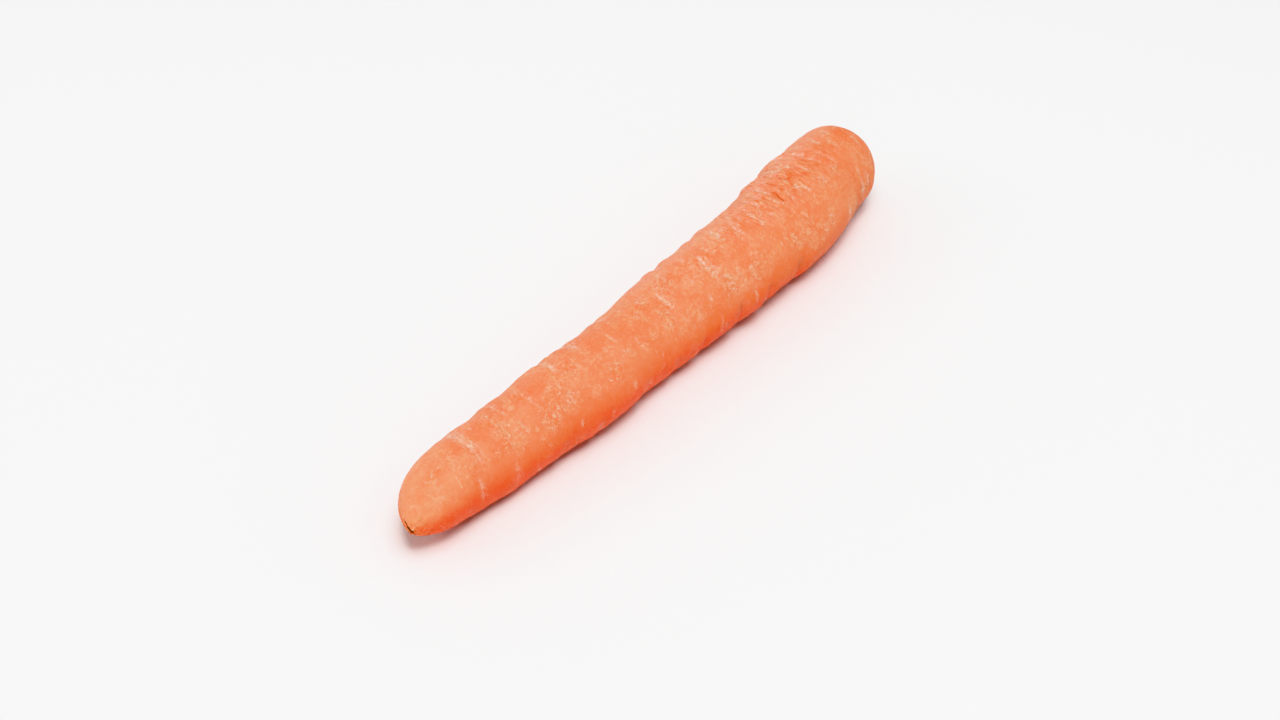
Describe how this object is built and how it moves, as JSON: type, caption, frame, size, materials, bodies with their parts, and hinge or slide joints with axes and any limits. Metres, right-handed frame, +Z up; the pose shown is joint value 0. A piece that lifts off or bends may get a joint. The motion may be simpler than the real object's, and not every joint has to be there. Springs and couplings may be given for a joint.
{
  "type": "carrot",
  "caption": "Whole blunt carrot root, washed and topped, with crosswise furrows, a torn tail scar and a trimmed leaf scar. Lies on its side.",
  "frame": {"origin": "on the resting surface, under the middle of the root's outer box", "axes": "+X along the root from its tail tip to its leaf crown, +Z up from the surface it lies on"},
  "size_m": [0.1912, 0.032, 0.0284],
  "materials": {
    "carrot_skin": "satin"
  },
  "bodies": {
    "root": {"carrot": "carrot_skin"}
  },
  "joints": []
}
